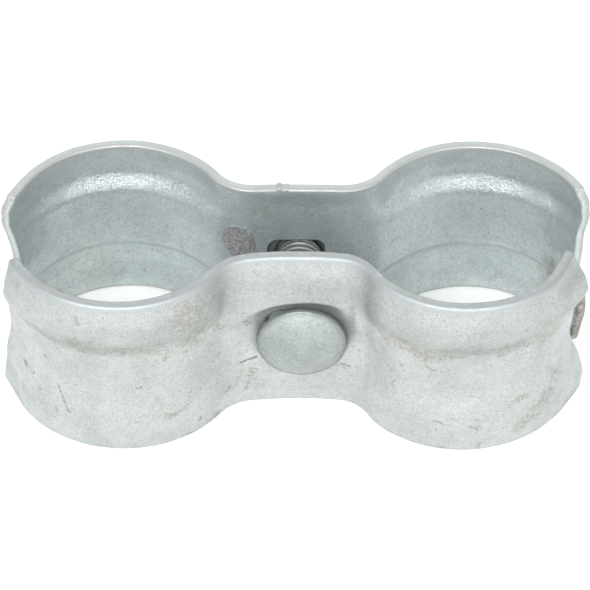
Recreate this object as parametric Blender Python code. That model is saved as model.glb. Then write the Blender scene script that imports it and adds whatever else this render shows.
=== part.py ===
"""Two-tube clamp: two identical pressed strips drawn together by one cup-head bolt and a hex nut.

Metres, +Z up. X runs across the two tubes, Y along the bolt with the bolt head at -Y, and Z along the
tubes. The origin is the centre of the footprint, on the surface that the strips' lower edges stand on.
"""
import math

import bmesh
import bpy

# Tubes and strip
TUBE_DIAMETER = 0.0483
SEAT_PINCH = 0.0010            # closed, the seat is this much under the tube's diameter, so that it grips
TUBE_SPACING = 0.0790
STRIP_THICKNESS = 0.0024
STRIP_HEIGHT = 0.0450

# Outline of a strip seen along the tubes, measured to its outer face at the upper and lower edges
WAIST_DEPTH = 0.00085
CUP_RADIUS = (TUBE_DIAMETER - SEAT_PINCH) / 2 + STRIP_THICKNESS + WAIST_DEPTH
BRIDGE_OFFSET = 0.0120
FILLET_RADIUS = 0.0100
CUP_END_ANGLE = math.radians(62.0)
TAIL_AT_TOP = 0.0028
TAIL_AT_BOTTOM = 0.0070

# Cross-section of a strip: (share of the height, offset outward from the edge line)
BULGE_DEPTH = 0.0013
SHOULDER_DEPTH = 0.85 * BULGE_DEPTH
SECTION = (
    (0.00, 0.0),
    (0.18, BULGE_DEPTH),
    (0.27, SHOULDER_DEPTH),
    (0.38, -WAIST_DEPTH),
    (0.67, -WAIST_DEPTH),
    (0.79, SHOULDER_DEPTH),
    (0.86, BULGE_DEPTH),
    (1.00, 0.0),
)
SECTION_STEPS = (2, 1, 3, 1, 3, 1, 2)

# Bolt, nut and the square holes
BOLT_AXIS_HEIGHT = STRIP_HEIGHT / 2
HOLE_SIDE = 0.0129
THREAD_DIAMETER = 0.0100
BOLT_LENGTH = 0.0400
HEAD_DIAMETER = 0.0200
HEAD_EDGE = 0.0010
HEAD_DOME = 0.0030
NECK_SIDE = 0.0103
NECK_LENGTH = 0.0060
THREAD_CHAMFER = 0.0010
NUT_ACROSS_FLATS = 0.0170
NUT_THICKNESS = 0.0080
NUT_FACE_SHARE = 0.98
NUT_CHAMFER_ANGLE = math.radians(30.0)
RUNNING_GAP = 0.0003
CUTTER_MARGIN = 0.0010

# Facets
FILLET_STEPS = 6
CUP_STEPS = 18
BRIDGE_STEPS = 2
TAIL_STEPS = 2
TURNED_STEPS = 48
DOME_STEPS = 5

# The head and the nut bear on the shoulders above and below the waist, and not on the waist itself
SEAT_OFFSET = BRIDGE_OFFSET + SHOULDER_DEPTH + RUNNING_GAP


def clear_scene():
    for thing in list(bpy.data.objects):
        bpy.data.objects.remove(thing, do_unlink=True)


def metal(name, colour, roughness, metallic):
    material = bpy.data.materials.new(name)
    material.use_nodes = True
    shader = material.node_tree.nodes["Principled BSDF"]
    shader.inputs["Base Color"].default_value = (*colour, 1.0)
    shader.inputs["Roughness"].default_value = roughness
    shader.inputs["Metallic"].default_value = metallic
    return material


def object_from_bmesh(name, shape, material=None, sharp_angle=40.0):
    bmesh.ops.recalc_face_normals(shape, faces=shape.faces)
    mesh = bpy.data.meshes.new(name)
    shape.to_mesh(mesh)
    shape.free()
    mesh.shade_smooth()
    mesh.set_sharp_from_angle(angle=math.radians(sharp_angle))
    thing = bpy.data.objects.new(name, mesh)
    bpy.context.collection.objects.link(thing)
    if material is not None:
        mesh.materials.append(material)
    return thing


def combine(target, tool, operation):
    """Cut, intersect or join the target with a tool that stays out of the model itself."""
    tool.hide_render = True
    tool.display_type = "WIRE"
    modifier = target.modifiers.new(tool.name, "BOOLEAN")
    modifier.operation = operation
    modifier.solver = "EXACT"
    modifier.object = tool


def smooth_step(share):
    return share * share * (3.0 - 2.0 * share)


def section_rows():
    """Heights and outward offsets of the strip's cross-section, from its lower to its upper edge."""
    rows = [(0.0, 0.0)]
    for index, steps in enumerate(SECTION_STEPS):
        low_share, low_offset = SECTION[index]
        high_share, high_offset = SECTION[index + 1]
        for step in range(1, steps + 1):
            share = step / steps
            height = STRIP_HEIGHT * (low_share + (high_share - low_share) * share)
            rows.append((height, low_offset + (high_offset - low_offset) * smooth_step(share)))
    return rows


def outline_stations():
    """Right half of the outline: (x, y, normal x, normal y, share of the tail), bridge centre first.

    The outline belongs to the half at -Y. Its normal points away from the tubes.
    """
    fillet_y = -(BRIDGE_OFFSET + FILLET_RADIUS)
    reach = math.sqrt((CUP_RADIUS + FILLET_RADIUS) ** 2 - fillet_y ** 2)
    cup_x = TUBE_SPACING / 2
    fillet_x = cup_x - reach
    turn = math.atan2(reach, -fillet_y)
    stations = []
    for step in range(BRIDGE_STEPS):
        stations.append((fillet_x * step / BRIDGE_STEPS, -BRIDGE_OFFSET, 0.0, -1.0, 0.0))
    for step in range(FILLET_STEPS):
        angle = turn * step / FILLET_STEPS
        normal = (-math.sin(angle), -math.cos(angle))
        x = fillet_x - FILLET_RADIUS * normal[0]
        y = fillet_y - FILLET_RADIUS * normal[1]
        stations.append((x, y, *normal, 0.0))
    for step in range(CUP_STEPS + 1):
        angle = -turn + (CUP_END_ANGLE + turn) * step / CUP_STEPS
        normal = (math.sin(angle), -math.cos(angle))
        stations.append((cup_x + CUP_RADIUS * normal[0], CUP_RADIUS * normal[1], *normal, 0.0))
    x, y, normal_x, normal_y, _ = stations[-1]
    for step in range(1, TAIL_STEPS + 1):
        stations.append((x, y, normal_x, normal_y, step / TAIL_STEPS))
    return stations


def strip_point(station, height, depth):
    """Point of the strip at a station and height, at a depth behind its outer edge line."""
    x, y, normal_x, normal_y, tail_share = station
    tail = TAIL_AT_BOTTOM + (TAIL_AT_TOP - TAIL_AT_BOTTOM) * height / STRIP_HEIGHT
    x += tail * tail_share * -normal_y - depth * normal_x
    y += tail * tail_share * normal_x - depth * normal_y
    return (x, y, height)


def strip_wall(shape, depth_from_edge):
    """Grid of vertices for one face of the strip, a column per station from its left end to its right."""
    right = outline_stations()
    stations = [(-1.0, station) for station in reversed(right[1:])]
    stations += [(1.0, station) for station in right]
    columns = []
    for side, station in stations:
        column = []
        for height, offset in section_rows():
            x, y, z = strip_point(station, height, depth_from_edge - offset)
            column.append(shape.verts.new((side * x, y, z)))
        columns.append(column)
    return columns


def skin(shape, columns):
    for left, right in zip(columns, columns[1:]):
        for row in range(len(left) - 1):
            shape.faces.new((left[row], right[row], right[row + 1], left[row + 1]))


def close_rim(shape, outer, inner):
    """Upper, lower and end faces between the strip's outer and inner walls."""
    for row in (0, -1):
        for column in range(len(outer) - 1):
            shape.faces.new((outer[column][row], outer[column + 1][row],
                             inner[column + 1][row], inner[column][row]))
    for column in (0, -1):
        for row in range(len(outer[column]) - 1):
            shape.faces.new((outer[column][row], outer[column][row + 1],
                             inner[column][row + 1], inner[column][row]))


def clamp_half(name, material, turn):
    shape = bmesh.new()
    outer = strip_wall(shape, 0.0)
    inner = strip_wall(shape, STRIP_THICKNESS)
    skin(shape, outer)
    skin(shape, inner)
    close_rim(shape, outer, inner)
    half = object_from_bmesh(name, shape, material)
    half.rotation_euler.z = turn

    punch = bmesh.new()
    bmesh.ops.create_cube(punch, size=HOLE_SIDE)
    cutter = object_from_bmesh(name + "_punch", punch)
    cutter.parent = half
    cutter.location = (0.0, -BRIDGE_OFFSET, BOLT_AXIS_HEIGHT)
    combine(half, cutter, "DIFFERENCE")
    return half


def turned(profile):
    """Closed solid of revolution about +Z; the profile runs from axis to axis as (radius, height)."""
    shape = bmesh.new()
    rings = []
    for radius, height in profile:
        if radius == 0.0:
            rings.append([shape.verts.new((0.0, 0.0, height))])
            continue
        ring = []
        for step in range(TURNED_STEPS):
            angle = 2.0 * math.pi * step / TURNED_STEPS
            ring.append(shape.verts.new((radius * math.cos(angle), radius * math.sin(angle), height)))
        rings.append(ring)
    for low, high in zip(rings, rings[1:]):
        for step in range(TURNED_STEPS):
            following = (step + 1) % TURNED_STEPS
            if len(low) == 1:
                shape.faces.new((low[0], high[step], high[following]))
            elif len(high) == 1:
                shape.faces.new((low[step], low[following], high[0]))
            else:
                shape.faces.new((low[step], low[following], high[following], high[step]))
    return shape


def bolt_profile():
    """Low dome over a short edge, then the plain shank at the thread's outer diameter."""
    head_radius = HEAD_DIAMETER / 2
    dome_radius = (head_radius ** 2 + HEAD_DOME ** 2) / (2.0 * HEAD_DOME)
    dome_turn = math.asin(head_radius / dome_radius)
    crown = -HEAD_EDGE - HEAD_DOME
    profile = [(0.0, crown)]
    for step in range(1, DOME_STEPS + 1):
        angle = dome_turn * step / DOME_STEPS
        profile.append((dome_radius * math.sin(angle), crown + dome_radius * (1.0 - math.cos(angle))))
    thread_radius = THREAD_DIAMETER / 2
    profile += [
        (head_radius, 0.0),
        (thread_radius, 0.0),
        (thread_radius, BOLT_LENGTH - THREAD_CHAMFER),
        (thread_radius - THREAD_CHAMFER, BOLT_LENGTH),
        (0.0, BOLT_LENGTH),
    ]
    return profile


def cup_head_bolt(material):
    bolt = object_from_bmesh("cup_head_bolt", turned(bolt_profile()), material)
    bolt.location = (0.0, -SEAT_OFFSET, BOLT_AXIS_HEIGHT)
    bolt.rotation_euler.x = math.radians(-90.0)

    block = bmesh.new()
    bmesh.ops.create_cube(block, size=1.0)
    overlap = HEAD_EDGE / 2
    bmesh.ops.scale(block, verts=block.verts, vec=(NECK_SIDE, NECK_SIDE, NECK_LENGTH + overlap))
    bmesh.ops.translate(block, verts=block.verts, vec=(0.0, 0.0, (NECK_LENGTH - overlap) / 2))
    neck = object_from_bmesh("square_neck", block)
    neck.parent = bolt
    combine(bolt, neck, "UNION")
    return bolt


def nut_chamfer():
    """Solid between two cones, which trims the six corners at both faces of the nut."""
    corner_radius = NUT_ACROSS_FLATS / math.sqrt(3.0)
    face_radius = NUT_ACROSS_FLATS / 2 * NUT_FACE_SHARE
    outer_radius = corner_radius + CUTTER_MARGIN
    rise = (outer_radius - face_radius) * math.tan(NUT_CHAMFER_ANGLE)
    return object_from_bmesh("nut_chamfer", turned([
        (0.0, 0.0),
        (face_radius, 0.0),
        (outer_radius, rise),
        (outer_radius, NUT_THICKNESS - rise),
        (face_radius, NUT_THICKNESS),
        (0.0, NUT_THICKNESS),
    ]))


def nut_bore():
    bore_radius = THREAD_DIAMETER / 2 + RUNNING_GAP
    return object_from_bmesh("nut_bore", turned([
        (0.0, -CUTTER_MARGIN),
        (bore_radius, -CUTTER_MARGIN),
        (bore_radius, NUT_THICKNESS + CUTTER_MARGIN),
        (0.0, NUT_THICKNESS + CUTTER_MARGIN),
    ]))


def hex_nut(material):
    corner_radius = NUT_ACROSS_FLATS / math.sqrt(3.0)
    shape = bmesh.new()
    bmesh.ops.create_cone(shape, cap_ends=True, segments=6, radius1=corner_radius,
                          radius2=corner_radius, depth=NUT_THICKNESS)
    bmesh.ops.translate(shape, verts=shape.verts, vec=(0.0, 0.0, NUT_THICKNESS / 2))
    nut = object_from_bmesh("hex_nut", shape, material, sharp_angle=20.0)
    nut.location = (0.0, SEAT_OFFSET, BOLT_AXIS_HEIGHT)
    nut.rotation_euler.x = math.radians(-90.0)
    for tool, operation in ((nut_chamfer(), "INTERSECT"), (nut_bore(), "DIFFERENCE")):
        tool.parent = nut
        combine(nut, tool, operation)
    return nut


clear_scene()
zinc = metal("galvanised_strip", (0.78, 0.80, 0.79), 0.45, 0.75)
dull_zinc = metal("galvanised_bolt", (0.62, 0.64, 0.64), 0.42, 0.80)
clamp_half("front_clamp_half", zinc, 0.0)
clamp_half("rear_clamp_half", zinc, math.pi)
cup_head_bolt(dull_zinc)
hex_nut(dull_zinc)
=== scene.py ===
"""Looks of the two-tube clamp: pressed galvanised strips, a cup-head bolt with its thread, and a hex nut.

Shapes are worked out in millimetres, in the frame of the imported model: X across the tubes, Y along the
bolt with its head at -Y, Z up along the tubes.
"""
import math

import bmesh
import bpy
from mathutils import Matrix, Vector, noise


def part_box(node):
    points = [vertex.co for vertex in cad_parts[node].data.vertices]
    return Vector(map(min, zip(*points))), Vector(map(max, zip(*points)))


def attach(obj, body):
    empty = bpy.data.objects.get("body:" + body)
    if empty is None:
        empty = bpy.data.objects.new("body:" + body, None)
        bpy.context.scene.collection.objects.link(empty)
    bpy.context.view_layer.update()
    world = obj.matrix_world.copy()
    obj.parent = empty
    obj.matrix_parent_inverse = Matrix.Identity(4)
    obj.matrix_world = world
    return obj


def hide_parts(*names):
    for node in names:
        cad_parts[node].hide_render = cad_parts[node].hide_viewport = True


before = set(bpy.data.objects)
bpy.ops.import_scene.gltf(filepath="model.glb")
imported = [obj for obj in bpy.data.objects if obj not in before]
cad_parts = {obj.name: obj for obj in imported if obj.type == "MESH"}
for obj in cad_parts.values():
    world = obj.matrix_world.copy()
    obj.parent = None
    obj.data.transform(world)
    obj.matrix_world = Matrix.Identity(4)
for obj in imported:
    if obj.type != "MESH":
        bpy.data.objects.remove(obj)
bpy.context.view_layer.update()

MM = 0.001

# Strip: the driving dimensions of the pressed halves
STRIP_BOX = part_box("front_clamp_half")
STRIP_HEIGHT = (STRIP_BOX[1][2] - STRIP_BOX[0][2]) / MM
TUBE_DIAMETER = 48.3
TUBE_SPACING = 79.0
SEAT_PINCH = 1.0
THICKNESS = 2.4
WAIST_DEPTH = 0.85
BULGE_DEPTH = 1.3
SHOULDER_DEPTH = 0.85 * BULGE_DEPTH
CUP_RADIUS = (TUBE_DIAMETER - SEAT_PINCH) / 2 + THICKNESS + WAIST_DEPTH
BRIDGE_OFFSET = 12.0
FILLET_RADIUS = 10.0
CUP_END_ANGLE = math.radians(62.0)

# Sections of the strip's wall: share of the height, and how far the wall stands outward there.
# The rear half is pressed sharper than the front one, and the bridge between the cups has its own section.
SHARP_SECTION = (
    (0.00, 0.0),
    (0.18, BULGE_DEPTH),
    (0.27, SHOULDER_DEPTH),
    (0.37, -WAIST_DEPTH),
    (0.69, -WAIST_DEPTH),
    (0.81, SHOULDER_DEPTH),
    (0.86, BULGE_DEPTH),
    (1.00, 0.0),
)
SOFT_SECTION = (
    (0.00, 0.5),
    (0.14, 0.75 * BULGE_DEPTH),
    (0.22, 0.60 * BULGE_DEPTH),
    (0.42, -WAIST_DEPTH),
    (0.62, -WAIST_DEPTH),
    (0.80, 0.9 * BULGE_DEPTH),
    (0.86, BULGE_DEPTH),
    (1.00, 0.2),
)
BRIDGE_SECTION = (
    (0.00, 0.4),
    (0.16, SHOULDER_DEPTH),
    (0.30, SHOULDER_DEPTH),
    (0.50, 0.45),
    (0.66, SHOULDER_DEPTH),
    (0.86, BULGE_DEPTH),
    (1.00, 0.0),
)
BRIDGE_MIDDLE_OFFSET = BRIDGE_SECTION[3][1]

# Pocket round the bolt head: centre and half size in X and Z, then how it is skewed. Its floor is flat out
# to the first share of its reach, and by the second share further where it rises above or below the head.
POCKET_CENTRE = (-0.85, 23.3)
POCKET_REACH = (16.2, 8.9)
POCKET_DEPTH = 1.55
POCKET_LEAN = 0.62
POCKET_TILT = 0.11
POCKET_SQUARENESS = 2.15
POCKET_FLOOR = (0.30, 0.52)

# Radii of the strip's edges
OUTER_EDGE_ROUND = 0.75
INNER_EDGE_ROUND = 0.5
END_ROUND = 0.5

# Heights that the materials follow: the line of dross outside, and the slope inside where glints are painted
BELT_HEIGHT = 30.6
SLOPE_LOW = SHARP_SECTION[4][0] * STRIP_HEIGHT
SLOPE_HIGH = SHARP_SECTION[5][0] * STRIP_HEIGHT

# Where one shape of the strip gives way to the next, in millimetres: from, to
CUP_SECTION_STARTS = (14.0, 21.0)
BRIDGE_BOW_FADES = (3.0, 15.0)
END_SHIFT_STARTS = (6.0, 24.0)
END_BEND_REACH = 15.0

# Arc left in the cup at stations before the cup: far enough to be out of END_BEND_REACH
FAR = 100.0

# Above 1, stations of the outline crowd towards the cut ends, which are rounded
TAIL_CROWDING = 1.6

# Unevenness of the pressing: height and width of the waves, and the shift of their seed
WAVES = ((0.16, 13.0, 0.0), (0.06, 5.0, 3.0), (0.025, 2.2, 7.0))

# Beads of zinc on the rim reach this far down
BEAD_DEPTH = 2.0

# Bands for the materials, measured from an edge of the strip
RIM_INNER_BAND = 1.2
RIM_FADE = (2.0, 0.7)
CUT_END_FADE = (0.1, 0.9)

# Bolt and nut. The drifts are how far the askew bolt sits off its axis in X and Z, at its head and where
# it passes the rear half. The lip's roll is (rise above the strip's face, growth of the hole).
BOLT_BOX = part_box("cup_head_bolt")
NUT_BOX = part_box("hex_nut")
AXIS_HEIGHT = (NUT_BOX[0][2] + NUT_BOX[1][2]) / 2 / MM
HEAD_DIAMETER = (BOLT_BOX[1][0] - BOLT_BOX[0][0]) / MM
HEAD_RADIUS = HEAD_DIAMETER / 2 * 1.01
HEAD_DRIFT = (0.9, -1.9)
HEAD_SINK = 0.8
REAR_DRIFT = (0.45, 0.9)
HEAD_EDGE = 1.4
HEAD_CORNER = 0.45
HEAD_DOME = 2.6
HEAD_CROWN_Y = BOLT_BOX[0][1] / MM + HEAD_SINK
HEAD_UNDERSIDE_Y = HEAD_CROWN_Y + HEAD_EDGE + HEAD_DOME
BOLT_END_Y = BOLT_BOX[1][1] / MM
THREAD_DIAMETER = 10.0
THREAD_PITCH = 1.5
THREAD_DEPTH = 1.0
THREAD_START_Y = 0.6
THREAD_RUN_OUT = 2.0
SHANK_RADIUS = THREAD_DIAMETER / 2 - 0.1
END_CHAMFER = 1.0
NECK_SIDE = 10.3
NECK_LENGTH = 6.0
NECK_CORNER_LIMIT = 1.30
HOLE_SIDE = 12.9
HOLE_CORNER = 2.2
HOLE_LIP = 0.9
HOLE_LIP_ROLL = ((0.25, 0.9), (0.05, 0.45), (-0.15, 0.18), (-0.45, 0.0))
CUTTER_REACH = 3.0
NUT_ACROSS_FLATS = (NUT_BOX[1][0] - NUT_BOX[0][0]) / MM
NUT_FACE_Y = NUT_BOX[0][1] / MM
NUT_THICKNESS = (NUT_BOX[1][1] - NUT_BOX[0][1]) / MM
NUT_BORE_RADIUS = THREAD_DIAMETER / 2 + 0.22
NUT_MOUTH_RADIUS = NUT_BORE_RADIUS + 0.55
NUT_THREAD_DEPTH = 0.45
NUT_CHAMFER_ANGLE = math.radians(30.0)
NUT_EDGE_LEVELS = (0.0, 0.12, 0.25, 0.4, 0.6, 0.85, 1.1, 1.4)


def smooth_step(low, high, value):
    """Soft ramp from 0 at low to 1 at high, whichever of the two is larger."""
    share = min(max((value - low) / (high - low), 0.0), 1.0)
    return share * share * (3.0 - 2.0 * share)


def hill(distance, radius):
    """Soft bump that is 1 at its centre and 0 from its radius on."""
    return 1.0 - smooth_step(0.0, 1.0, distance / radius)


def along_profile(profile, share):
    """Value of a smooth profile, given as (share of the height, value), at a share of the height."""
    for (low, low_value), (high, high_value) in zip(profile, profile[1:]):
        if share <= high:
            return low_value + (high_value - low_value) * smooth_step(low, high, share)
    return profile[-1][1]


def grain(x, y, z, size, seed=0.0):
    """Smooth noise between about -1 and 1, with features of the given size in millimetres."""
    return noise.noise(Vector((x / size + seed, y / size - seed, z / size + 2.0 * seed)))


# ---------------------------------------------------------------- mesh building

def mesh_object(name, vertices, faces, attributes=None, sharp_angle=50.0):
    """New object from points in millimetres, with one value for each point in every attribute."""
    mesh = bpy.data.meshes.new(name)
    mesh.from_pydata([(x * MM, y * MM, z * MM) for x, y, z in vertices], [], faces)
    for label, values in (attributes or {}).items():
        layer = mesh.attributes.new(label, "FLOAT", "POINT")
        layer.data.foreach_set("value", values)
    mesh.validate()
    mesh.shade_smooth()
    mesh.set_sharp_from_angle(angle=math.radians(sharp_angle))
    piece = bpy.data.objects.new(name, mesh)
    bpy.context.scene.collection.objects.link(piece)
    return piece


def grid_faces(columns, rows, first=0, closed_columns=False):
    """Quads of a grid whose vertices are stored column by column, and whose columns are closed loops."""
    faces = []
    for column in range(columns if closed_columns else columns - 1):
        here = first + column * rows
        beside = first + (column + 1) % columns * rows
        for row in range(rows):
            upper = (row + 1) % rows
            faces.append((here + row, beside + row, beside + upper, here + upper))
    return faces


def ladder_faces(rows, first):
    """Faces that close a loop of points, each between a pair from its start and a pair from its end."""
    faces = []
    low, high = 0, rows - 1
    while high - low > 1:
        corners = (first + low, first + low + 1, first + high - 1, first + high)
        faces.append(tuple(dict.fromkeys(corners)))
        low += 1
        high -= 1
    return faces


def fan_faces(centre, first, count, order=1):
    """Triangles from a centre point to a ring of points, facing the other way where order is -1."""
    return [(centre, first + step, first + (step + 1) % count)[::order] for step in range(count)]


def full_circle(count):
    """Angles of evenly spaced directions."""
    return [2.0 * math.pi * step / count for step in range(count)]


def quarter_turn(steps):
    """Angles from 0 to a right angle."""
    return [math.pi / 2 * step / steps for step in range(steps + 1)]


# ---------------------------------------------------------------- strip shape

def outline_stations(bridge_steps=28, fillet_steps=28, cup_steps=66, tail_steps=12):
    """Right half of the outline: (x, y, normal x, normal y, share of the tail, arc left in the cup)."""
    cup_x = TUBE_SPACING / 2
    fillet_y = -(BRIDGE_OFFSET + FILLET_RADIUS)
    reach = math.sqrt((CUP_RADIUS + FILLET_RADIUS) ** 2 - fillet_y ** 2)
    fillet_x = cup_x - reach
    turn = math.atan2(reach, -fillet_y)
    stations = []
    for step in range(bridge_steps):
        stations.append((fillet_x * step / bridge_steps, -BRIDGE_OFFSET, 0.0, -1.0, 0.0, FAR))
    for step in range(fillet_steps):
        angle = turn * step / fillet_steps
        normal = (-math.sin(angle), -math.cos(angle))
        stations.append((fillet_x - FILLET_RADIUS * normal[0], fillet_y - FILLET_RADIUS * normal[1],
                         *normal, 0.0, FAR))
    for step in range(cup_steps + 1):
        angle = -turn + (CUP_END_ANGLE + turn) * step / cup_steps
        normal = (math.sin(angle), -math.cos(angle))
        arc_left = (CUP_END_ANGLE - angle) * CUP_RADIUS
        stations.append((cup_x + CUP_RADIUS * normal[0], CUP_RADIUS * normal[1], *normal, 0.0, arc_left))
    cup_end = stations[-1][:4]
    for step in range(1, tail_steps + 1):
        share = 1.0 - (1.0 - step / tail_steps) ** TAIL_CROWDING
        stations.append((*cup_end, share, 0.0))
    return stations


def section_loop(wall_steps=112, corner_steps=4):
    """Closed loop round the strip's section: (depth behind the outer face, height)."""
    loop = []
    outer, inner = OUTER_EDGE_ROUND, INNER_EDGE_ROUND
    outer_wall, inner_wall = STRIP_HEIGHT - 2 * outer, STRIP_HEIGHT - 2 * inner
    corner = [(1 - math.cos(angle), 1 - math.sin(angle)) for angle in quarter_turn(corner_steps)]
    for step in range(wall_steps + 1):
        loop.append((0.0, outer + outer_wall * step / wall_steps))
    for over, back in corner[1:]:
        loop.append((outer * over, STRIP_HEIGHT - outer * back))
    for over, back in corner:
        loop.append((THICKNESS - inner * back, STRIP_HEIGHT - inner * over))
    for step in range(1, wall_steps + 1):
        loop.append((THICKNESS, STRIP_HEIGHT - inner - inner_wall * step / wall_steps))
    for over, back in corner[1:]:
        loop.append((THICKNESS - inner * over, inner * back))
    for over, back in corner[:-1]:
        loop.append((outer * back, outer * over))
    return loop


class End:
    """One end of a strip: how far it runs on past the cup, and how it is bent out or in."""

    def __init__(self, tail, bend, shift=0.0):
        self.tail = tail
        self.bend = bend
        self.shift = shift


class Strip:
    """One pressed half: facing is -1 for the front half and +1 for the rear one.

    stand_off moves it outward, bow draws the edges of its bridge inward, and ends holds its left and
    right End.
    """

    def __init__(self, name, body, node, facing, section, ends, bow, stand_off, hole_place, seed,
                 pocket=False, dents=(), beads=()):
        self.name = name
        self.body = body
        self.node = node
        self.facing = facing
        self.section = section
        self.ends = ends
        self.bow = bow
        self.stand_off = stand_off
        self.hole_place = hole_place
        self.seed = seed
        self.pocket = pocket
        self.dents = dents
        self.beads = beads

    def press(self, side, x, z):
        """Outward offset of both walls at a place: cup section, bridge section and bolt pocket."""
        share_of_cup = smooth_step(*CUP_SECTION_STARTS, x)
        offset = along_profile(self.section, z / STRIP_HEIGHT) * share_of_cup
        offset += along_profile(BRIDGE_SECTION, z / STRIP_HEIGHT) * (1.0 - share_of_cup)
        past_centre = side * x - POCKET_CENTRE[0]
        across = abs(past_centre) / POCKET_REACH[0]
        upward = abs(z - POCKET_CENTRE[1] - POCKET_TILT * past_centre) / POCKET_REACH[1]
        reach = (across ** POCKET_SQUARENESS + upward ** POCKET_SQUARENESS) ** (1 / POCKET_SQUARENESS)
        if self.pocket and reach < 1.0:
            steep = (upward / max(reach, 0.01)) ** 2
            wall_start = POCKET_FLOOR[0] + POCKET_FLOOR[1] * steep
            lean = 1.0 + POCKET_LEAN * side * x / POCKET_REACH[0]
            offset -= POCKET_DEPTH * lean * (1.0 - smooth_step(wall_start, 1.0, reach))
        return offset

    def bowed(self, x, z):
        """Inward bow of the bridge at its two edges, where pressing the pocket drew it in."""
        edge = abs(z / STRIP_HEIGHT - 0.5) * 2.0
        return self.bow * (1.0 - smooth_step(*BRIDGE_BOW_FADES, x)) * (0.35 + 0.65 * edge)

    def dented(self, x, z):
        """Offset of the dents at a place, negative where the wall is pushed in."""
        total = 0.0
        for dent_x, dent_z, half_x, half_z, lean, depth in self.dents:
            over_x, over_z = x - dent_x, z - dent_z
            distance = math.hypot((over_x + lean * over_z) / half_x, (over_z - lean * over_x) / half_z)
            total -= depth * hill(distance, 1.0)
        return total

    def point(self, station, side, depth, height):
        """Where a point of the section's loop lands at a station of the outline, on the side -1 or 1."""
        x, y, normal_x, normal_y, tail_share, arc_left = station
        end = self.ends[0 if side < 0 else 1]
        tail = along_profile(end.tail, height / STRIP_HEIGHT)
        along = tail * tail_share
        left = tail * (1.0 - tail_share)
        inset = 0.0
        if tail_share > 0.0 and left < END_ROUND:
            inset = END_ROUND - math.sqrt(END_ROUND ** 2 - (END_ROUND - left) ** 2)
        depth = THICKNESS / 2 + (depth - THICKNESS / 2) * (1.0 - 2.0 * inset / THICKNESS)
        middle = STRIP_HEIGHT / 2
        height = middle + (height - middle) * (1.0 - inset / middle)
        x += along * -normal_y
        y += along * normal_x
        outward = self.press(side, x, height) - self.bowed(x, height) + self.dented(side * x, height)
        near_end = 1.0 - smooth_step(0.0, END_BEND_REACH, arc_left + left)
        outward += near_end * along_profile(end.bend, height / STRIP_HEIGHT)
        for wave_height, width, seed_shift in WAVES:
            outward += wave_height * grain(side * x, y, height, width, self.seed + seed_shift)
        x += (outward - depth) * normal_x
        y += (outward - depth) * normal_y
        x += end.shift * smooth_step(*END_SHIFT_STARTS, x)
        for bead_x, bead_radius, bead_rise in self.beads:
            at_top = smooth_step(STRIP_HEIGHT - BEAD_DEPTH, STRIP_HEIGHT, height)
            height += bead_rise * at_top * hill(abs(side * x - bead_x), bead_radius)
        return (side * x, self.facing * (self.stand_off - y), height)

    def build(self):
        """The finished piece, with the attributes that its material reads."""
        right = outline_stations()
        loop = section_loop()
        stations = [(-1, station) for station in reversed(right[1:])] + [(1, station) for station in right]
        rows = len(loop)
        vertices = []
        values = {"rim_inner": [], "inward": [], "rim": [], "cut_end": []}
        for side, station in stations:
            tail = self.ends[0 if side < 0 else 1].tail
            tail_share = station[4]
            for depth, height in loop:
                vertices.append(self.point(station, side, depth, height))
                from_edge = min(STRIP_HEIGHT - height, height)
                near_rim = max(RIM_INNER_BAND - from_edge, 0.0) / RIM_INNER_BAND
                values["rim_inner"].append(near_rim * smooth_step(0.6, 1.0, depth / THICKNESS))
                values["inward"].append(depth / THICKNESS)
                values["rim"].append(smooth_step(*RIM_FADE, STRIP_HEIGHT - height))
                left = along_profile(tail, height / STRIP_HEIGHT) * (1.0 - tail_share)
                near_cut = 1.0 - smooth_step(*CUT_END_FADE, left)
                values["cut_end"].append(near_cut if tail_share > 0.0 else 0.0)
        faces = grid_faces(len(stations), rows)
        faces += ladder_faces(rows, 0)
        faces += ladder_faces(rows, (len(stations) - 1) * rows)
        piece = mesh_object(self.name, vertices, faces, values)
        tidy_normals(piece)
        self.punch(piece)
        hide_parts(self.node)
        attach(piece, self.body)
        return piece

    def punch(self, piece, arc_steps=8):
        """Square hole with round corners, its arrises rolled over by the zinc."""
        outer = BRIDGE_OFFSET + self.stand_off + BRIDGE_MIDDLE_OFFSET
        if self.pocket:
            outer -= POCKET_DEPTH
        inner = outer - THICKNESS
        levels = [(outer + CUTTER_REACH, HOLE_LIP)]
        levels += [(outer + rise, grow) for rise, grow in HOLE_LIP_ROLL]
        levels += [(inner - rise, grow) for rise, grow in reversed(HOLE_LIP_ROLL)]
        levels += [(inner - CUTTER_REACH, HOLE_LIP)]
        hole_x, hole_z = self.hole_place
        straight = HOLE_SIDE / 2 - HOLE_CORNER
        vertices = []
        for level, grow in levels:
            for quarter, (sign_x, sign_z) in enumerate(((1, 1), (-1, 1), (-1, -1), (1, -1))):
                for step in range(arc_steps + 1):
                    angle = math.pi / 2 * (quarter + step / arc_steps)
                    x = hole_x + straight * sign_x + (HOLE_CORNER + grow) * math.cos(angle)
                    z = hole_z + straight * sign_z + (HOLE_CORNER + grow) * math.sin(angle)
                    vertices.append((x, self.facing * level, z))
        rows = 4 * (arc_steps + 1)
        faces = grid_faces(len(levels), rows)
        faces.append(tuple(range(rows)))
        faces.append(tuple(range((len(levels) - 1) * rows, len(levels) * rows)))
        cutter = mesh_object("hole_cutter", vertices, faces)
        tidy_normals(cutter)
        cut_out(piece, cutter)


def tidy_normals(piece):
    """Turns all faces of a closed mesh outward."""
    shape = bmesh.new()
    shape.from_mesh(piece.data)
    bmesh.ops.recalc_face_normals(shape, faces=shape.faces)
    shape.to_mesh(piece.data)
    shape.free()


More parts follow.
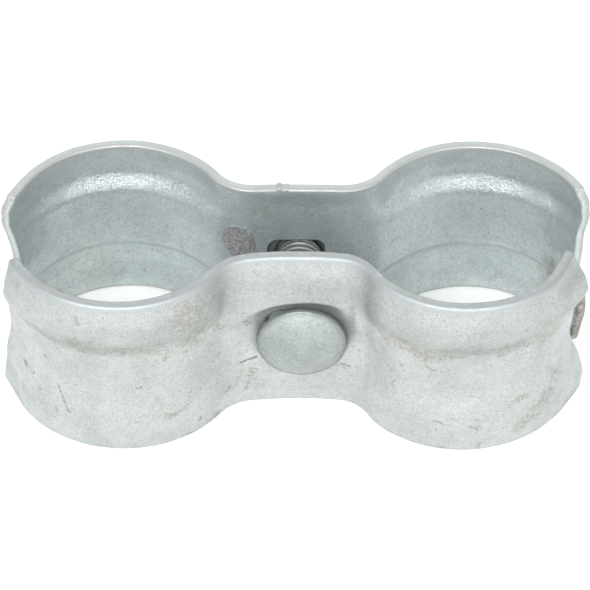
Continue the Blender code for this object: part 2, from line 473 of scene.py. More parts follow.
def weld(piece, distance=0.002 * MM):
    """Joins points that a Boolean leaves on top of each other, with the slivers between them."""
    shape = bmesh.new()
    shape.from_mesh(piece.data)
    bmesh.ops.remove_doubles(shape, verts=shape.verts, dist=distance)
    bmesh.ops.dissolve_degenerate(shape, edges=shape.edges, dist=distance)
    shape.to_mesh(piece.data)
    shape.free()


def cut_out(piece, tool):
    """Cuts the tool's shape out of a piece, and removes the tool."""
    modifier = piece.modifiers.new("boolean", "BOOLEAN")
    modifier.operation = "DIFFERENCE"
    modifier.solver = "EXACT"
    modifier.object = tool
    evaluated = piece.evaluated_get(bpy.context.evaluated_depsgraph_get())
    mesh = bpy.data.meshes.new_from_object(evaluated)
    piece.modifiers.clear()
    piece.data = mesh
    bpy.data.objects.remove(tool, do_unlink=True)
    weld(piece)


# ---------------------------------------------------------------- bolt and nut

def bolt_head_profile():
    """Radius and distance along +Y of the head, from the crown to the neck."""
    profile = []
    rim = HEAD_RADIUS - HEAD_CORNER
    for angle in quarter_turn(24):
        radius = rim * math.sin(angle)
        profile.append((radius, HEAD_CROWN_Y + (radius / rim) ** 2 * HEAD_DOME))
    corner_y = HEAD_CROWN_Y + HEAD_DOME
    for angle in quarter_turn(6)[1:]:
        radius = rim + HEAD_CORNER * math.sin(angle)
        profile.append((radius, corner_y + HEAD_CORNER * (1.0 - math.cos(angle))))
    edge_start = corner_y + HEAD_CORNER
    edge_length = HEAD_EDGE - HEAD_CORNER - 0.2
    for step in range(1, 4):
        profile.append((HEAD_RADIUS, edge_start + edge_length * step / 3))
    profile.append((HEAD_RADIUS - 0.06, HEAD_UNDERSIDE_Y - 0.06))
    profile.append((HEAD_RADIUS - 0.35, HEAD_UNDERSIDE_Y))
    profile.append((NECK_SIDE * 0.72, HEAD_UNDERSIDE_Y))
    return profile


def axis_drift(y):
    """How far the bolt's centre line sits off its axis: the head hangs down, the shank rides up."""
    at_head = 1.0 - smooth_step(HEAD_UNDERSIDE_Y + 1.0, 4.0, y)
    at_rear = smooth_step(0.0, 7.0, y) * (1.0 - smooth_step(11.5, 13.4, y))
    return tuple(front * at_head + rear * at_rear for front, rear in zip(HEAD_DRIFT, REAR_DRIFT))


def neck_radius(angle):
    """Radius of the square neck, with its corners rounded, in the direction of an angle."""
    square = NECK_SIDE / 2 / max(abs(math.cos(angle)), abs(math.sin(angle)))
    return min(square, NECK_SIDE / 2 * NECK_CORNER_LIMIT)


def thread_ridge(angle, y):
    """1 on the crest of the right-hand thread and 0 between two crests."""
    phase = (y / THREAD_PITCH - angle / (2.0 * math.pi)) % 1.0
    return 0.5 + 0.5 * math.cos(2.0 * math.pi * phase)


def thread_radius(angle, y):
    """Radius of the bolt's thread, with zinc-softened crests, fading in and out at its ends."""
    ridge = smooth_step(0.08, 0.92, thread_ridge(angle, y))
    crest = THREAD_DIAMETER / 2
    depth = THREAD_DEPTH * smooth_step(THREAD_START_Y, THREAD_START_Y + THREAD_RUN_OUT, y)
    end = max(y - (BOLT_END_Y - END_CHAMFER), 0.0)
    return min(crest - depth * (1.0 - ridge), crest - end)


def bolt_rings(angles):
    """Rings from the crown to the end of the thread: (radius, distance along +Y) at each angle."""
    around = len(angles)
    rings = [[point] * around for point in bolt_head_profile()[1:]]
    for step in range(7):
        y = HEAD_UNDERSIDE_Y + NECK_LENGTH * step / 6
        rings.append([(neck_radius(angle), y) for angle in angles])
    shank_start = HEAD_UNDERSIDE_Y + NECK_LENGTH + 0.4
    shank_length = THREAD_START_Y - 0.3 - shank_start
    for step in range(9):
        rings.append([(SHANK_RADIUS, shank_start + shank_length * step / 8)] * around)
    thread_length = BOLT_END_Y - THREAD_START_Y
    steps = int(thread_length / THREAD_PITCH * 12)
    for step in range(steps + 1):
        y = THREAD_START_Y + thread_length * step / steps
        rings.append([(thread_radius(angle, y), y) for angle in angles])
    return rings


def bolt_point(angle, radius, y):
    """Where a point of the bolt lands, with the head's surface slightly uneven."""
    x, z = radius * math.cos(angle), radius * math.sin(angle)
    if y < HEAD_UNDERSIDE_Y - 0.3:
        sink = abs(0.07 * grain(x, 0.0, z, 4.0, 9.0))
    else:
        sink = 0.0
    if y < HEAD_UNDERSIDE_Y:
        swell = 1.0 + 0.010 * grain(x, y, z, 6.0, 4.0)
    else:
        swell = 1.0
    drift_x, drift_z = axis_drift(y)
    return (x * swell + drift_x, y + sink, AXIS_HEIGHT + z * swell + drift_z)


def bolt_painted_shade(radius, y):
    """Share of painted shade: towards the head's edge, where it damps the highlight, and in the thread's
    valleys.
    """
    if y < HEAD_UNDERSIDE_Y:
        return 0.75 * smooth_step(HEAD_RADIUS - 1.3, HEAD_RADIUS - 0.2, radius)
    return smooth_step(THREAD_DIAMETER / 2 - 0.15, THREAD_DIAMETER / 2 - 0.8, radius)


def build_bolt(around=96):
    angles = full_circle(around)
    rings = bolt_rings(angles)
    vertices = [(HEAD_DRIFT[0], HEAD_CROWN_Y, AXIS_HEIGHT + HEAD_DRIFT[1])]
    edge_and_root_shade = [0.0]
    for ring in rings:
        for angle, (radius, y) in zip(angles, ring):
            vertices.append(bolt_point(angle, radius, y))
            edge_and_root_shade.append(bolt_painted_shade(radius, y))
    vertices.append((0.0, BOLT_END_Y, AXIS_HEIGHT))
    edge_and_root_shade.append(0.0)
    faces = grid_faces(len(rings), around, first=1)
    faces += fan_faces(0, 1, around)
    faces += fan_faces(len(vertices) - 1, 1 + (len(rings) - 1) * around, around, order=-1)
    piece = mesh_object("cup_head_bolt_detailed", vertices, faces, {"edge_and_root_shade": edge_and_root_shade}, sharp_angle=60.0)
    tidy_normals(piece)
    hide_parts("cup_head_bolt")
    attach(piece, "bolt")
    return piece


def nut_outside(angle, along):
    """Radius of the nut's outside: six flats with soft corners, chamfered at both faces."""
    flat = NUT_ACROSS_FLATS / 2
    sector = (angle + math.pi / 6) % (math.pi / 3) - math.pi / 6
    hexagon = flat / math.cos(sector)
    corner = flat / math.cos(math.pi / 6) - 0.18
    from_face = min(along, NUT_THICKNESS - along)
    chamfer = flat - 0.25 + from_face / math.tan(NUT_CHAMFER_ANGLE)
    return min(hexagon, corner, chamfer)


def nut_inside(angle, along):
    """Radius of the nut's threaded bore, which widens at both faces."""
    from_face = min(along, NUT_THICKNESS - along)
    radius = NUT_BORE_RADIUS - NUT_THREAD_DEPTH * (1.0 - thread_ridge(angle, NUT_FACE_Y + along))
    return max(radius, NUT_MOUTH_RADIUS - 0.02 - from_face)


def build_nut(around=144):
    angles = full_circle(around)
    levels = [*NUT_EDGE_LEVELS, NUT_THICKNESS / 2]
    levels += [NUT_THICKNESS - level for level in reversed(NUT_EDGE_LEVELS)]
    loop = [[(nut_outside(angle, level), level) for angle in angles] for level in levels]
    loop.append([(NUT_MOUTH_RADIUS, NUT_THICKNESS)] * around)
    steps = int(NUT_THICKNESS / THREAD_PITCH * 10)
    for step in range(steps + 1):
        along = NUT_THICKNESS * (1.0 - step / steps)
        loop.append([(nut_inside(angle, along), along) for angle in angles])
    loop.append([(NUT_MOUTH_RADIUS, 0.0)] * around)
    vertices = []
    for ring in loop:
        for angle, (radius, along) in zip(angles, ring):
            turned = angle + math.pi / 2
            x, z = radius * math.cos(turned), radius * math.sin(turned)
            vertices.append((x, NUT_FACE_Y + along, AXIS_HEIGHT + z))
    faces = grid_faces(len(loop), around, closed_columns=True)
    piece = mesh_object("hex_nut_detailed", vertices, faces, sharp_angle=24.0)
    tidy_normals(piece)
    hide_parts("hex_nut")
    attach(piece, "nut")
    return piece


# ---------------------------------------------------------------- colours and marks

ZINC_METALLIC = 0.7
STRIP_LIGHT = (0.54, 0.585, 0.58, 1.0)
STRIP_DARK = (0.455, 0.50, 0.495, 1.0)
# Gains for painted light and shade: the lower inside of the cups is lit up, the outside shaded, more above
# the belt
INSIDE_GAIN = (0.99, 1.0, 1.01, 1.0)
INSIDE_LOW_PAINTED_LIGHT = (1.15, 1.155, 1.165, 1.0)
OUTSIDE_PAINTED_SHADE = (0.838, 0.818, 0.807, 1.0)
OUTSIDE_HIGH_PAINTED_SHADE = (0.762, 0.744, 0.733, 1.0)
BELT_DROSS = (0.285, 0.285, 0.245, 1.0)
STAIN = (0.27, 0.26, 0.215, 1.0)
FINE_SPECK = (0.20, 0.20, 0.19, 1.0)
COARSE_SPECK = (0.24, 0.25, 0.245, 1.0)
DARK_SCRATCH = (0.27, 0.27, 0.26, 1.0)
PALE_SCRATCH = (0.29, 0.30, 0.29, 1.0)
RIM_BROWN = (0.33, 0.29, 0.24, 1.0)
CUT_BROWN = (0.27, 0.245, 0.20, 1.0)
END_GRIME = (0.25, 0.245, 0.20, 1.0)
END_RUST = (0.15, 0.125, 0.09, 1.0)
GLITTER_DARK = (0.31, 0.33, 0.34, 1.0)
PAINTED_GLINT = (0.80, 0.83, 0.84, 1.0)
# Dark brown for grime at the hole's edge and painted shade inside the hole
HOLE_GRIME_AND_SHADE = (0.15, 0.11, 0.08, 1.0)
STEEL_DARK = (0.24, 0.225, 0.23, 1.0)
STEEL_LIGHT = (0.52, 0.50, 0.52, 1.0)
BOLT_LIGHT = (0.350, 0.377, 0.373, 1.0)
BOLT_DARK = (0.287, 0.315, 0.313, 1.0)
BOLT_PAINTED_SHADE = (0.20, 0.215, 0.215, 1.0)
BOLT_SPECK = (0.17, 0.17, 0.17, 1.0)
BOLT_STAIN = (0.26, 0.25, 0.22, 1.0)
FLOOR_DARK = (0.965, 0.965, 0.965, 1.0)
FLOOR_LIGHT = (0.98, 0.98, 0.98, 1.0)
DARK_MARK_AND_CREASE_SHADE = (0.13, 0.13, 0.13, 1.0)
DROSS = (0.29, 0.28, 0.235, 1.0)
RUST = (0.35, 0.30, 0.27, 1.0)
PAINTED_SHADE = (0.34, 0.385, 0.40, 1.0)
BURNT = (0.17, 0.145, 0.115, 1.0)
PAINTED_HIGHLIGHT = (0.74, 0.77, 0.77, 1.0)

# Marks of handling on the front half: x, z, half width, half height, lean, depth
FRONT_DENTS = (
    (34.5, 10.5, 5.5, 1.5, -0.25, 0.30),
    (53.0, 12.0, 4.0, 6.0, 0.35, 0.45),
    (-50.0, 14.0, 3.0, 4.0, 0.3, 0.35),
    (-32.0, 20.0, 6.0, 4.5, 0.1, 0.25),
    (26.0, 33.0, 3.5, 4.0, 0.3, 0.30),
    (12.0, 30.0, 2.5, 3.5, -0.3, 0.35),
)

# Marks on the zinc, some of them painted shade and painted highlights: (x, z, x, z) of a line, half width,
# colour, strength, broken up or not
FRONT_MARKS = (
    ((-64.8, 43.4, -62.8, 44.8), 0.8, BURNT, 0.7, True),
    # The two short dark lines below the head are painted shade in the creases of the pocket's lower lip; the
    # other dark marks are small dark spots
    ((-12.9, 14.2, -9.3, 15.3), 0.34, DARK_MARK_AND_CREASE_SHADE, 0.8, False),
    ((9.9, 13.5, 11.8, 13.0), 0.30, DARK_MARK_AND_CREASE_SHADE, 0.7, False),
    ((-53.7, 16.4, -51.4, 10.2), 0.55, DARK_MARK_AND_CREASE_SHADE, 0.6, True),
    ((-61.4, 15.7, -61.2, 15.2), 0.50, DARK_MARK_AND_CREASE_SHADE, 0.6, False),
    ((-56.4, 23.0, -56.2, 22.8), 0.40, DARK_MARK_AND_CREASE_SHADE, 0.5, False),
    ((-35.9, 18.4, -34.6, 18.6), 0.35, DARK_MARK_AND_CREASE_SHADE, 0.5, False),
    ((-22.3, 3.8, -22.0, 4.6), 0.40, DARK_MARK_AND_CREASE_SHADE, 0.6, False),
    ((-25.0, 40.0, -22.5, 29.0), 4.6, DROSS, 0.8, True),
    ((-48.4, 41.2, -48.0, 39.8), 0.7, DROSS, 0.6, False),
    ((-50.0, 31.5, -34.0, 31.5), 2.8, DROSS, 0.75, True),
    ((53.9, 33.0, 55.5, 34.0), 3.0, DROSS, 0.80, True),
    ((50.4, 5.0, 56.0, 11.0), 2.4, DROSS, 0.80, True),
    ((22.3, 30.2, 28.0, 28.5), 2.6, DROSS, 0.80, True),
    ((32.6, 32.0, 40.0, 31.0), 1.6, DROSS, 0.50, True),
    ((17.5, 31.5, 21.5, 28.5), 3.0, RUST, 0.75, True),
)
# On the rear half the blue-grey patches are painted shade, and the pale lines painted highlights on its
# slopes and folds
REAR_MARKS = (
    ((60.3, 25.0, 60.6, 36.0), 5.0, PAINTED_SHADE, 0.42, False),
    ((-61.5, 26.0, -62.5, 38.0), 5.5, PAINTED_SHADE, 0.40, False),
    ((56.6, 36.0, 58.6, 30.0), 0.5, PAINTED_HIGHLIGHT, 0.5, True),
    ((-53.0, 30.5, -49.0, 36.0), 2.4, PAINTED_HIGHLIGHT, 0.5, True),
    ((-65.2, 43.8, -64.0, 44.8), 0.9, BURNT, 0.8, True),
    ((9.0, 38.0, 10.5, 33.0), 3.5, PAINTED_HIGHLIGHT, 0.16, False),
    ((-4.5, 44.0, -4.0, 28.0), 1.8, PAINTED_SHADE, 0.35, True),
)

# Bare spot inside the rear half: x, z, half width, half height
REAR_BARE_SPOT = (-13.6, 27.6, 3.8, 4.9)

# Beads of a drip on the rear half's rim: x, radius, rise
REAR_BEADS = ((-4.2, 1.0, 0.65), (-2.7, 0.7, 0.35))

# ---------------------------------------------------------------- materials

class Nodes:
    """Short helper that makes and links shader nodes."""

    def __init__(self, name):
        self.material = bpy.data.materials.new(name)
        self.material.use_nodes = True
        self.tree = self.material.node_tree
        self.shader = self.tree.nodes["Principled BSDF"]
        self.place = self.tree.nodes.new("ShaderNodeTexCoord").outputs["Object"]

    def node(self, kind, **settings):
        made = self.tree.nodes.new("ShaderNode" + kind)
        for key, value in settings.items():
            setattr(made, key, value)
        return made

    def feed(self, socket, value):
        if isinstance(value, bpy.types.NodeSocket):
            self.tree.links.new(value, socket)
        else:
            socket.default_value = value

    def noise(self, size, detail=3.0, roughness=0.55, distortion=0.0):
        """Noise with features of the given size in millimetres."""
        mapping = self.node("Mapping")
        self.feed(mapping.inputs["Vector"], self.place)
        mapping.inputs["Scale"].default_value = [1.0 / MM / size] * 3
        made = self.node("TexNoise")
        self.feed(made.inputs["Vector"], mapping.outputs["Vector"])
        made.inputs["Scale"].default_value = 1.0
        made.inputs["Detail"].default_value = detail
        made.inputs["Roughness"].default_value = roughness
        made.inputs["Distortion"].default_value = distortion
        return made.outputs["Fac"]

    def ramp(self, value, low, high, to_low=0.0, to_high=1.0, smooth=True):
        """Goes from to_low to to_high, and stays there, as the value goes from low to high."""
        made = self.node("MapRange")
        made.interpolation_type = "SMOOTHSTEP" if smooth else "LINEAR"
        self.feed(made.inputs["Value"], value)
        made.inputs["From Min"].default_value = low
        made.inputs["From Max"].default_value = high
        made.inputs["To Min"].default_value = to_low
        made.inputs["To Max"].default_value = to_high
        return made.outputs["Result"]

    def maths(self, operation, first, second=0.0):
        made = self.node("Math", operation=operation)
        self.feed(made.inputs[0], first)
        self.feed(made.inputs[1], second)
        return made.outputs[0]

    def product(self, *values):
        result = values[0]
        for value in values[1:]:
            result = self.maths("MULTIPLY", result, value)
        return result

    def length(self, first, second):
        """Length of the vector that has these two parts."""
        total = self.maths("ADD", self.product(first, first), self.product(second, second))
        return self.maths("SQRT", total)

    def mix(self, share, first, second, blend_type="MIX"):
        made = self.node("Mix", data_type="RGBA", blend_type=blend_type)
        self.feed(made.inputs[0], share)
        self.feed(made.inputs[6], first)
        self.feed(made.inputs[7], second)
        return made.outputs[2]

    def multiply(self, first, second):
        """Product of two colours."""
        return self.mix(1.0, first, second, blend_type="MULTIPLY")

    def along(self, axis):
        """Coordinate along X, Y or Z, in millimetres."""
        split = self.node("SeparateXYZ")
        self.feed(split.inputs[0], self.place)
        return self.maths("MULTIPLY", split.outputs[axis], 1.0 / MM)

    def attribute(self, name):
        return self.node("Attribute", attribute_name=name).outputs["Fac"]

    def bump(self, layers):
        """Chain of bumps: (height socket, distance in millimetres)."""
        normal = None
        for height, distance in layers:
            made = self.node("Bump")
            self.feed(made.inputs["Height"], height)
            made.inputs["Distance"].default_value = distance * MM
            if normal is not None:
                self.feed(made.inputs["Normal"], normal)
            normal = made.outputs["Normal"]
        self.feed(self.shader.inputs["Normal"], normal)


def scaled(colour, gains):
    """A colour with its red, green and blue multiplied by the gains."""
    return tuple(part * gain for part, gain in zip(colour, gains)) + (1.0,)


class Zinc(Nodes):
    """Hot-dip galvanised surface: soft clouds, small mottling, dross specks, stains and fine scratches."""

    def __init__(self, name, light, dark, roughness):
        super().__init__(name)
        self.roughness = roughness
        self.polish = None
        self.shader.inputs["Metallic"].default_value = ZINC_METALLIC
        self.clouds = self.noise(11.0, detail=5.0, roughness=0.6)
        self.mottle = self.noise(2.4, detail=5.0, roughness=0.7, distortion=0.8)
        self.fine = self.noise(0.50, detail=3.0, roughness=0.7)
        self.curdle = self.noise(1.1, detail=4.0, roughness=0.75, distortion=1.5)
        self.heights = [(self.clouds, 0.10), (self.mottle, 0.05), (self.curdle, 0.03), (self.fine, 0.016)]
        self.colour = self.mix(self.ramp(self.clouds, 0.36, 0.66), light, dark)
        warm = self.noise(17.0, detail=3.0, distortion=0.5)
        self.tint(self.ramp(warm, 0.48, 0.66, 0.0, 0.35), scaled(light, (1.03, 0.985, 0.94)))
        # Pattern, the values at which its tint starts and is full, strength, tone, and gain on the tone
        mottling = (
            (self.mottle, 0.52, 0.74, 0.40, dark, 0.80),
            (self.mottle, 0.44, 0.26, 0.30, light, 1.16),
            (self.curdle, 0.50, 0.70, 0.60, dark, 0.82),
            (self.curdle, 0.46, 0.28, 0.55, light, 1.14),
            (self.fine, 0.48, 0.66, 0.65, dark, 0.78),
            (self.fine, 0.44, 0.30, 0.65, light, 1.15),
        )
        for pattern, start, full, strength, tone, gain in mottling:
            self.tint(self.ramp(pattern, start, full, 0.0, strength), scaled(tone, (gain, gain, gain)))

    def tint(self, share, colour):
        """Mixes a colour over what is there so far."""
        self.colour = self.mix(share, self.colour, colour)

    def specks(self, size, amount, colour, strength):
        """Small grains of dross, in loose groups."""
        grains = self.noise(size, detail=1.5, roughness=0.5)
        patches = self.noise(size * 14.0, detail=2.0)
        share = self.product(self.ramp(grains, amount, amount + 0.06), self.ramp(patches, 0.40, 0.60))
        self.tint(self.product(share, strength), colour)

    def stains(self, colour, strength):
        """Brown-grey dross patches a few millimetres wide, broken up inside."""
        places = self.noise(7.5, detail=2.0, distortion=1.2)
        broken = self.noise(1.1, detail=3.0, roughness=0.7)
        share = self.product(self.ramp(places, 0.63, 0.70), self.ramp(broken, 0.42, 0.56), strength)
        self.tint(share, colour)

    def scratches(self, turn, colour, strength):
        """Fine lines, turned about the bolt's axis."""
        mapping = self.node("Mapping")
        self.feed(mapping.inputs["Vector"], self.place)
        mapping.inputs["Rotation"].default_value = (0.0, turn, 0.3 * turn)
        mapping.inputs["Scale"].default_value = (110.0, 700.0, 3200.0)
        lines = self.node("TexNoise")
        self.feed(lines.inputs["Vector"], mapping.outputs["Vector"])
        lines.inputs["Scale"].default_value = 1.0
        lines.inputs["Detail"].default_value = 2.0
        lines.inputs["Distortion"].default_value = 0.4
        share = self.ramp(lines.outputs["Fac"], 0.70, 0.76)
        self.tint(self.product(share, strength), colour)

    def finish(self):
        """Connects colour, roughness and bump to the shader."""
        self.feed(self.shader.inputs["Base Color"], self.colour)
        rough = self.ramp(self.clouds, 0.3, 0.7, self.roughness - 0.05, self.roughness + 0.07)
        rough = self.maths("ADD", rough, self.ramp(self.mottle, 0.35, 0.75, -0.05, 0.09))
        if self.polish is not None:
            rough = self.maths("SUBTRACT", rough, self.product(self.polish, 0.14))
        self.feed(self.shader.inputs["Roughness"], rough)
        self.bump(self.heights)
        return self.material


class StripZinc(Zinc):
    """Zinc of a pressed half, which knows the outside from the inside, the height and the rim."""

    def __init__(self, name):
        super().__init__(name, STRIP_LIGHT, STRIP_DARK, 0.44)
        self.inward = self.attribute("inward")
        self.outward = self.ramp(self.inward, 0.6, 0.2)
        self.rim = self.attribute("rim")
        self.cut_end = self.attribute("cut_end")
        self.height = self.along("Z")
        self.across = self.along("X")
        self.from_middle = self.maths("ABSOLUTE", self.across)

    def belt(self):
        """Broken line of dross round the outside of the cups, on the shoulder above the waist."""
        drift = self.ramp(self.noise(16.0, detail=2.0), 0.25, 0.75, -2.2, 2.2)
        ragged = self.ramp(self.noise(3.0, detail=4.0, roughness=0.7), 0.2, 0.8, -2.4, 2.4)
        ragged = self.maths("ADD", self.height, self.maths("ADD", ragged, drift))
        share = self.product(self.ramp(ragged, BELT_HEIGHT - 3.4, BELT_HEIGHT - 0.6),
                             self.ramp(ragged, BELT_HEIGHT + 3.2, BELT_HEIGHT + 0.6),
                             self.ramp(self.from_middle, 17.0, 24.0), self.outward)
        patches = self.ramp(self.noise(13.0, detail=2.0, roughness=0.6), 0.38, 0.58, 0.25, 1.0)
        crumbs = self.ramp(self.noise(0.7, detail=4.0, roughness=0.8), 0.46, 0.62, 0.28, 0.95)
        self.tint(self.product(share, patches, crumbs), BELT_DROSS)

    def painted_light_and_shade(self):
        """Painted light and shade: brightens the lower inside of the cups, and darkens the outside, more so
        above the belt.
        """
        low = self.ramp(self.height, 34.0, 30.0)
        painted_light_low_in_cup = self.product(low, self.ramp(self.from_middle, 15.0, 24.0))
        inside = self.mix(painted_light_low_in_cup, INSIDE_GAIN, INSIDE_LOW_PAINTED_LIGHT)
        painted_shade_above_belt = self.ramp(self.height, BELT_HEIGHT - 2.0, BELT_HEIGHT + 3.0)
        outside = self.mix(painted_shade_above_belt, OUTSIDE_PAINTED_SHADE, OUTSIDE_HIGH_PAINTED_SHADE)
        self.colour = self.multiply(self.colour, self.mix(self.outward, inside, outside))

    def mark(self, line, half_width, colour, strength, broken):
        """Scratch or patch along a line in the X-Z plane, given as (x, z, x, z) in millimetres."""
        start_x, start_z, end_x, end_z = line
        run_x, run_z = end_x - start_x, end_z - start_z
        off_x = self.maths("SUBTRACT", self.across, start_x)
        off_z = self.maths("SUBTRACT", self.height, start_z)
        square = max(run_x ** 2 + run_z ** 2, 0.0001)
        share = self.maths("ADD", self.product(off_x, run_x / square), self.product(off_z, run_z / square))
        share = self.ramp(share, 0.0, 1.0, smooth=False)
        off_x = self.maths("SUBTRACT", off_x, self.product(share, run_x))
        off_z = self.maths("SUBTRACT", off_z, self.product(share, run_z))
        wobble = self.ramp(self.noise(1.6, detail=4.0), 0.25, 0.75, -0.45 * half_width, 0.45 * half_width)
        away = self.maths("ADD", self.length(off_x, off_z), wobble)
        inside = self.ramp(away, half_width, 0.4 * half_width)
        if broken:
            crumbs = self.ramp(self.noise(0.9, detail=4.0, roughness=0.75), 0.42, 0.58)
            inside = self.product(inside, crumbs)
        self.tint(self.product(inside, strength), colour)

    def edges(self, rim_tone_and_shade, rusty_end):
        """Rim and cut ends, and if wanted rust on the lower part of the end at +X."""
        # Grey over the rim and its outer shoulder: partly the zinc's own grey, partly painted shade that
        # damps the highlight there, deeper on the front half
        rim_grey_and_shade = scaled((rim_tone_and_shade, rim_tone_and_shade, rim_tone_and_shade), (1.0, 1.07, 1.08))
        self.tint(self.product(self.rim, self.ramp(self.mottle, 0.35, 0.6, 0.6, 0.95)), rim_grey_and_shade)
        self.tint(self.product(self.attribute("rim_inner"), 0.40), RIM_BROWN)
        grime = self.ramp(self.noise(1.6, detail=4.0, roughness=0.7), 0.38, 0.60, 0.35, 1.0)
        self.tint(self.product(self.cut_end, grime, 0.22), CUT_BROWN)
        if rusty_end:
            low = self.ramp(self.height, 22.0, 18.0)
            low_right = self.product(self.ramp(self.across, 55.0, 59.0), low, grime)
            self.tint(self.product(self.ramp(self.inward, 0.3, 0.7), low_right, 0.75), END_GRIME)
            self.tint(self.product(self.cut_end, low_right, 0.6), END_RUST)

    def crumbs_and_painted_glints(self):
        """Crumbled zinc on the slope inside the cups, between the waist and the upper bulge: bumps, dark
        crumbs and a smoother finish, with painted glints on the light crumbs.
        """
        slope = self.product(self.ramp(self.height, SLOPE_LOW - 1.0, SLOPE_LOW + 1.5),
                             self.ramp(self.height, SLOPE_HIGH + 1.0, SLOPE_HIGH - 1.5),
                             self.ramp(self.from_middle, 15.0, 24.0),
                             self.ramp(self.inward, 0.7, 0.9),
                             self.ramp(self.from_middle, 58.0, 46.0, 0.1, 1.0),
                             self.ramp(self.noise(14.0, detail=2.0), 0.34, 0.56, 0.45, 1.0))
        crumbs = self.noise(0.55, detail=3.0, roughness=0.8)
        self.heights.append((self.product(slope, crumbs), 0.22))
        self.tint(self.product(slope, self.ramp(crumbs, 0.47, 0.65), 0.8), GLITTER_DARK)
        # The light crumbs are painted glints on the slope
        self.tint(self.product(slope, self.ramp(crumbs, 0.45, 0.30, 0.0, 0.8)), PAINTED_GLINT)
        self.polish = self.maths("SUBTRACT", slope, self.product(self.rim, 0.9))

    def hole_grime_and_shade(self, place):
        """Dark line of grime along the edge of the square hole, and painted shade inside it."""
        straight = HOLE_SIDE / 2 - HOLE_CORNER
        past = []
        for coordinate, centre in ((self.across, place[0]), (self.height, place[1])):
            away = self.maths("ABSOLUTE", self.maths("SUBTRACT", coordinate, centre))
            past.append(self.maths("MAXIMUM", self.maths("SUBTRACT", away, straight)))
        share = self.ramp(self.length(*past), HOLE_CORNER + 0.30, HOLE_CORNER + 0.05, 0.0, 0.85)
        self.tint(share, HOLE_GRIME_AND_SHADE)

    def bare_patch(self, spot_x, spot_z, half_width, half_height):
        """Oval inside the strip where the zinc didn't take, and the rough steel shows."""
        wobble = self.ramp(self.noise(2.6, detail=3.0), 0.2, 0.8, -0.12, 0.12)
        over_x = self.maths("DIVIDE", self.maths("SUBTRACT", self.across, spot_x), half_width)
        over_z = self.maths("DIVIDE", self.maths("SUBTRACT", self.height, spot_z), half_height)
        away = self.maths("ADD", self.length(over_x, over_z), wobble)
        spot = self.product(self.ramp(away, 1.03, 0.95), self.ramp(self.inward, 0.6, 0.8))
        grit = self.noise(0.7, detail=4.0, roughness=0.75)
        self.tint(self.product(spot, 0.92), self.mix(self.ramp(grit, 0.35, 0.65), STEEL_DARK, STEEL_LIGHT))
        self.heights.append((self.product(spot, grit), 0.25))


def strip_material(name, hole_place, marks, rim_tone_and_shade, bare_spot=None, rusty_end=False):
    zinc = StripZinc(name)
    zinc.belt()
    zinc.painted_light_and_shade()
    zinc.stains(STAIN, zinc.ramp(zinc.outward, 0.0, 1.0, 0.25, 0.75))
    zinc.specks(0.60, 0.68, FINE_SPECK, 0.8)
    zinc.specks(1.3, 0.73, COARSE_SPECK, 0.55)
    zinc.scratches(0.7, DARK_SCRATCH, zinc.product(zinc.outward, 0.65))
    zinc.scratches(-0.9, PALE_SCRATCH, zinc.product(zinc.outward, 0.5))
    for mark in marks:
        zinc.mark(*mark)
    zinc.edges(rim_tone_and_shade, rusty_end)
    zinc.crumbs_and_painted_glints()
    zinc.hole_grime_and_shade(hole_place)
    if bare_spot:
        zinc.bare_patch(*bare_spot)
    return zinc.finish()


def bolt_material(name):
    zinc = Zinc(name, BOLT_LIGHT, BOLT_DARK, 0.48)
    grit = zinc.ramp(zinc.noise(1.2, detail=3.0), 0.35, 0.6, 0.7, 1.0)
    # Painted shade on the head's edge and in the thread's valleys
    zinc.tint(zinc.product(zinc.attribute("edge_and_root_shade"), grit), BOLT_PAINTED_SHADE)
    zinc.specks(0.8, 0.71, BOLT_SPECK, 0.6)
    zinc.stains(BOLT_STAIN, 0.3)
    return zinc.finish()


def floor_material():
    nodes = Nodes("pale_floor")
    clouds = nodes.noise(80.0, detail=2.0)
    tone = nodes.mix(clouds, FLOOR_DARK, FLOOR_LIGHT)
    nodes.feed(nodes.shader.inputs["Base Color"], tone)
    nodes.shader.inputs["Roughness"].default_value = 0.9
    nodes.shader.inputs["Specular IOR Level"].default_value = 0.1
    return nodes.material


# ---------------------------------------------------------------- studio

CAMERA_TARGET = Vector((-0.7, 0.0, 22.3)) * MM
CAMERA_DISTANCE = 800.0 * MM
CAMERA_ELEVATION = math.radians(45.0)
CAMERA_AZIMUTH = math.radians(-0.26)
CAMERA_LENS = 215.0
LIGHT_TARGET = Vector((0.0, 0.0, 0.02))
WORLD_COLOUR = (0.97, 0.985, 1.0, 1.0)
WORLD_STRENGTH = 0.66
FLOOR_REACH = 3000.0

# Softboxes: name, place and size in metres, power in watts
SOFTBOXES = (
    ("key", (-0.28, -0.75, 1.05), (1.2, 0.7), 11.5),
    ("front", (0.1, -1.3, 0.80), (2.4, 1.3), 24.0),
    ("behind", (0.0, 1.2, 0.8), (1.8, 0.6), 6.0),
)


def make_camera():
    data = bpy.data.cameras.new("camera")
    data.lens = CAMERA_LENS
    data.sensor_width = 36.0
    data.clip_start = 0.05
    camera = bpy.data.objects.new("camera", data)
    back = Vector((-math.sin(CAMERA_AZIMUTH) * math.cos(CAMERA_ELEVATION),
                   -math.cos(CAMERA_AZIMUTH) * math.cos(CAMERA_ELEVATION),
                   math.sin(CAMERA_ELEVATION)))
    camera.location = CAMERA_TARGET + back * CAMERA_DISTANCE
    camera.rotation_euler = (-back).to_track_quat("-Z", "Y").to_euler()
    bpy.context.scene.collection.objects.link(camera)
    bpy.context.scene.camera = camera


def softbox(name, place, size, power):
    """Rectangular light aimed at the clamp."""
    data = bpy.data.lights.new(name, "AREA")
    data.shape = "RECTANGLE"
    data.size, data.size_y = size
    data.energy = power
    light = bpy.data.objects.new(name, data)
    light.location = place
    light.rotation_euler = (LIGHT_TARGET - Vector(place)).to_track_quat("-Z", "Y").to_euler()
    bpy.context.scene.collection.objects.link(light)


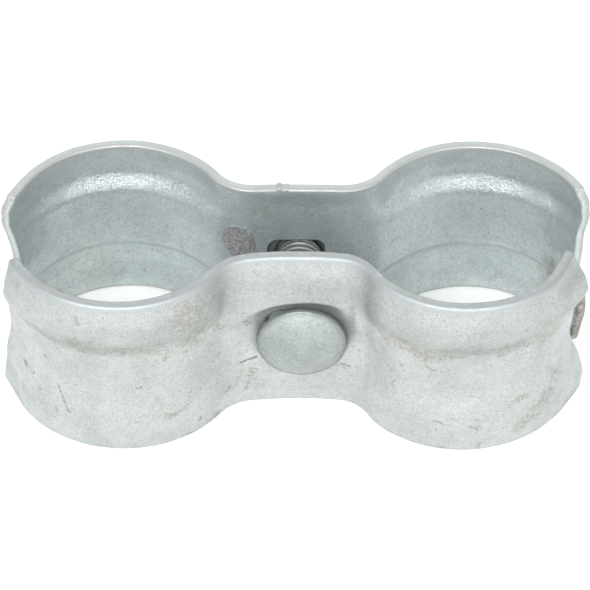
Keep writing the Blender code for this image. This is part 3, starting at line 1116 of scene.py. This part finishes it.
def make_studio():
    world = bpy.data.worlds.new("studio")
    bpy.context.scene.world = world
    world.use_nodes = True
    background = world.node_tree.nodes["Background"]
    background.inputs["Color"].default_value = WORLD_COLOUR
    background.inputs["Strength"].default_value = WORLD_STRENGTH
    for light in SOFTBOXES:
        softbox(*light)
    bpy.context.scene.view_settings.view_transform = "Standard"
    corners = [(x * FLOOR_REACH, y * FLOOR_REACH, 0.0) for x, y in ((-1, -1), (1, -1), (1, 1), (-1, 1))]
    floor = mesh_object("floor", corners, [(0, 1, 2, 3)])
    floor.data.materials.append(floor_material())


make_camera()
make_studio()

FRONT_HOLE = (0.0, AXIS_HEIGHT - 1.2)
REAR_HOLE = (-0.5, AXIS_HEIGHT - 0.35)

front_half = Strip(
    name="front_half_pressing", body="front_half", node="front_clamp_half", facing=-1,
    section=SOFT_SECTION, pocket=True, bow=0.8, stand_off=0.0,
    hole_place=FRONT_HOLE, seed=1.0, dents=FRONT_DENTS,
    ends=(
        End(tail=((0.0, 8.9), (1.0, 1.0)),
            bend=((0.0, -0.3), (0.16, -1.3), (0.42, 0.0), (0.70, 1.0), (0.90, 0.0), (1.0, 0.0))),
        End(tail=((0.0, 6.8), (1.0, 3.3)),
            bend=((0.0, 0.5), (0.12, 0.6), (0.38, -1.0), (0.60, 0.0), (0.78, 1.3), (1.0, -1.3)),
            shift=-2.5),
    ))
rear_half = Strip(
    name="rear_half_pressing", body="rear_half", node="rear_clamp_half", facing=1,
    section=SHARP_SECTION, bow=-0.3, stand_off=0.6,
    hole_place=REAR_HOLE, seed=5.0, beads=REAR_BEADS,
    ends=(
        End(tail=((0.0, 4.5), (1.0, 5.1)),
            bend=((0.0, 0.0), (0.45, 0.2), (0.60, 0.7), (0.71, 1.6), (0.86, 0.6), (1.0, 0.0))),
        End(tail=((0.0, 5.1), (1.0, 1.6)),
            bend=((0.0, -0.3), (0.30, 0.2), (0.45, 0.6), (0.63, 1.6), (0.72, 2.0), (0.86, 1.0), (1.0, 0.5))),
    ))

front_zinc = strip_material("front_half_pressing", FRONT_HOLE, FRONT_MARKS, rim_tone_and_shade=0.38)
rear_zinc = strip_material("rear_half_pressing", REAR_HOLE, REAR_MARKS, rim_tone_and_shade=0.48,
                           bare_spot=REAR_BARE_SPOT, rusty_end=True)
bolt_zinc = bolt_material("bolt_zinc")

for piece, material in ((front_half.build(), front_zinc), (rear_half.build(), rear_zinc),
                        (build_bolt(), bolt_zinc), (build_nut(), bolt_zinc)):
    piece.data.materials.append(material)
